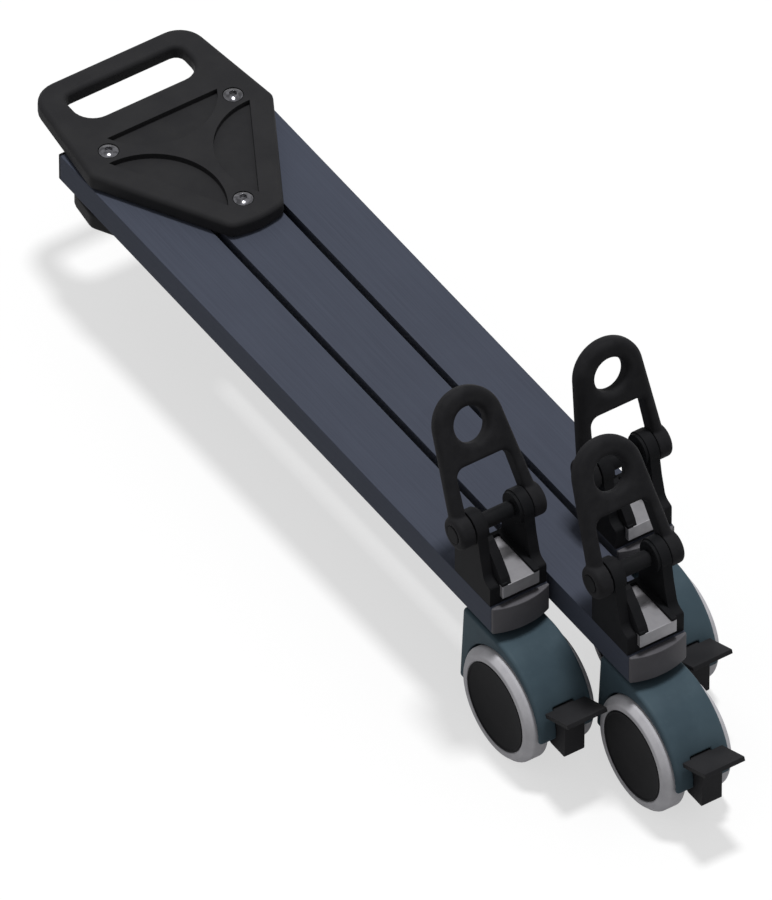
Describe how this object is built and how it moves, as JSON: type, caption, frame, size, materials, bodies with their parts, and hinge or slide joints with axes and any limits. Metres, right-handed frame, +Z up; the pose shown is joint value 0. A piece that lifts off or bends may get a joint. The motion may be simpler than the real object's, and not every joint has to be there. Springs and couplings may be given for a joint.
{
  "type": "folding three-arm dolly",
  "caption": "Folding dolly for a tripod: arms turn on a hub with a hand grip, and each ends in a foot holder with a rubber strap over a braked twin-wheel caster.",
  "frame": {"origin": "bottom centre of the bounding box, on the floor", "axes": "+Z up, +Y towards the hand grip, the folded arms pointing along -Y, +X towards the right arm"},
  "size_m": [0.203, 0.8966, 0.3144],
  "materials": {
    "plate_paint": "fine matt black coating",
    "chrome": "bright",
    "steel": "zinc plated",
    "washer_plastic": "satin",
    "arm_aluminium": "blue-grey anodised",
    "bush_brass": "turned",
    "block_aluminium": "milled",
    "seat_aluminium": "satin",
    "cap_plastic": "satin",
    "black_plastic": "fine grain",
    "strap_rubber": "matt",
    "hood_plastic": "satin",
    "wheel_plastic": "satin",
    "tyre": "matt grey",
    "pedal_plastic": "satin"
  },
  "bodies": {
    "hub": {"top_plate": "plate_paint", "bottom_plate": "plate_paint", "pivot_bolts": "chrome", "pivot_nuts": "steel", "friction_washers": "washer_plastic", "middle_arm_tube": "arm_aluminium", "middle_pivot_bush": "bush_brass", "middle_tail_plug": "black_plastic", "middle_end_cap": "cap_plastic", "middle_stem_block": "block_aluminium", "middle_foot_shoe": "black_plastic", "middle_seat_block": "seat_aluminium", "middle_cross_pin": "black_plastic", "middle_caster_stem": "steel"},
    "left_arm": {"left_arm_tube": "arm_aluminium", "left_pivot_bush": "bush_brass", "left_tail_plug": "black_plastic", "left_end_cap": "cap_plastic", "left_stem_block": "block_aluminium", "left_foot_shoe": "black_plastic", "left_seat_block": "seat_aluminium", "left_cross_pin": "black_plastic", "left_caster_stem": "steel"},
    "right_arm": {"right_arm_tube": "arm_aluminium", "right_pivot_bush": "bush_brass", "right_tail_plug": "black_plastic", "right_end_cap": "cap_plastic", "right_stem_block": "block_aluminium", "right_foot_shoe": "black_plastic", "right_seat_block": "seat_aluminium", "right_cross_pin": "black_plastic", "right_caster_stem": "steel"},
    "left_strap": {"left_foot_strap": "strap_rubber"},
    "left_caster": {"left_hood": "hood_plastic", "left_axle": "steel", "left_pedal_pin": "steel"},
    "left_wheel_a": {"left_rim_a": "wheel_plastic", "left_tyre_a": "tyre"},
    "left_wheel_b": {"left_rim_b": "wheel_plastic", "left_tyre_b": "tyre"},
    "left_pedal": {"left_brake_pedal": "pedal_plastic"},
    "middle_strap": {"middle_foot_strap": "strap_rubber"},
    "middle_caster": {"middle_hood": "hood_plastic", "middle_axle": "steel", "middle_pedal_pin": "steel"},
    "middle_wheel_a": {"middle_rim_a": "wheel_plastic", "middle_tyre_a": "tyre"},
    "middle_wheel_b": {"middle_rim_b": "wheel_plastic", "middle_tyre_b": "tyre"},
    "middle_pedal": {"middle_brake_pedal": "pedal_plastic"},
    "right_strap": {"right_foot_strap": "strap_rubber"},
    "right_caster": {"right_hood": "hood_plastic", "right_axle": "steel", "right_pedal_pin": "steel"},
    "right_wheel_a": {"right_rim_a": "wheel_plastic", "right_tyre_a": "tyre"},
    "right_wheel_b": {"right_rim_b": "wheel_plastic", "right_tyre_b": "tyre"},
    "right_pedal": {"right_brake_pedal": "pedal_plastic"}
  },
  "joints": [
    {"name": "fold_left", "type": "hinge", "parent": "hub", "child": "left_arm", "pos_m": [-0.06, 0.35426, 0.132], "axis": [0, 0, -1], "range_deg": [0, 120]},
    {"name": "fold_right", "type": "hinge", "parent": "hub", "child": "right_arm", "pos_m": [0.06, 0.35426, 0.132], "axis": [0, 0, 1], "range_deg": [0, 120]},
    {"name": "left_strap_swing", "type": "hinge", "parent": "left_arm", "child": "left_strap", "pos_m": [-0.06, -0.20924, 0.2065], "axis": [1, 0, 0], "range_deg": [-85, 30]},
    {"name": "left_swivel", "type": "hinge", "parent": "left_arm", "child": "left_caster", "pos_m": [-0.06, -0.22223, 0.1185], "axis": [0, 0, -1], "range_deg": [0, 180]},
    {"name": "left_spin_a", "type": "hinge", "parent": "left_caster", "child": "left_wheel_a", "pos_m": [-0.0825, -0.25723, 0.05], "axis": [1, 0, 0], "continuous": true},
    {"name": "left_spin_b", "type": "hinge", "parent": "left_caster", "child": "left_wheel_b", "pos_m": [-0.0375, -0.25723, 0.05], "axis": [1, 0, 0], "continuous": true},
    {"name": "left_pedal_press", "type": "hinge", "parent": "left_caster", "child": "left_pedal", "pos_m": [-0.06, -0.28724, 0.064], "axis": [1, 0, 0], "range_deg": [0, 10]},
    {"name": "middle_strap_swing", "type": "hinge", "parent": "hub", "child": "middle_strap", "pos_m": [0, -0.31573, 0.2065], "axis": [1, 0, 0], "range_deg": [-35, 100]},
    {"name": "middle_swivel", "type": "hinge", "parent": "hub", "child": "middle_caster", "pos_m": [0, -0.32873, 0.1185], "axis": [0, 0, -1], "range_deg": [-20, 20]},
    {"name": "middle_spin_a", "type": "hinge", "parent": "middle_caster", "child": "middle_wheel_a", "pos_m": [-0.0225, -0.36373, 0.05], "axis": [1, 0, 0], "continuous": true},
    {"name": "middle_spin_b", "type": "hinge", "parent": "middle_caster", "child": "middle_wheel_b", "pos_m": [0.0225, -0.36373, 0.05], "axis": [1, 0, 0], "continuous": true},
    {"name": "middle_pedal_press", "type": "hinge", "parent": "middle_caster", "child": "middle_pedal", "pos_m": [0, -0.39374, 0.064], "axis": [1, 0, 0], "range_deg": [0, 10]},
    {"name": "right_strap_swing", "type": "hinge", "parent": "right_arm", "child": "right_strap", "pos_m": [0.06, -0.20924, 0.2065], "axis": [1, 0, 0], "range_deg": [-100, 15]},
    {"name": "right_swivel", "type": "hinge", "parent": "right_arm", "child": "right_caster", "pos_m": [0.06, -0.22223, 0.1185], "axis": [0, 0, 1], "range_deg": [0, 180]},
    {"name": "right_spin_a", "type": "hinge", "parent": "right_caster", "child": "right_wheel_a", "pos_m": [0.0375, -0.25723, 0.05], "axis": [1, 0, 0], "continuous": true},
    {"name": "right_spin_b", "type": "hinge", "parent": "right_caster", "child": "right_wheel_b", "pos_m": [0.0825, -0.25723, 0.05], "axis": [1, 0, 0], "continuous": true},
    {"name": "right_pedal_press", "type": "hinge", "parent": "right_caster", "child": "right_pedal", "pos_m": [0.06, -0.28724, 0.064], "axis": [1, 0, 0], "range_deg": [0, 10]}
  ]
}
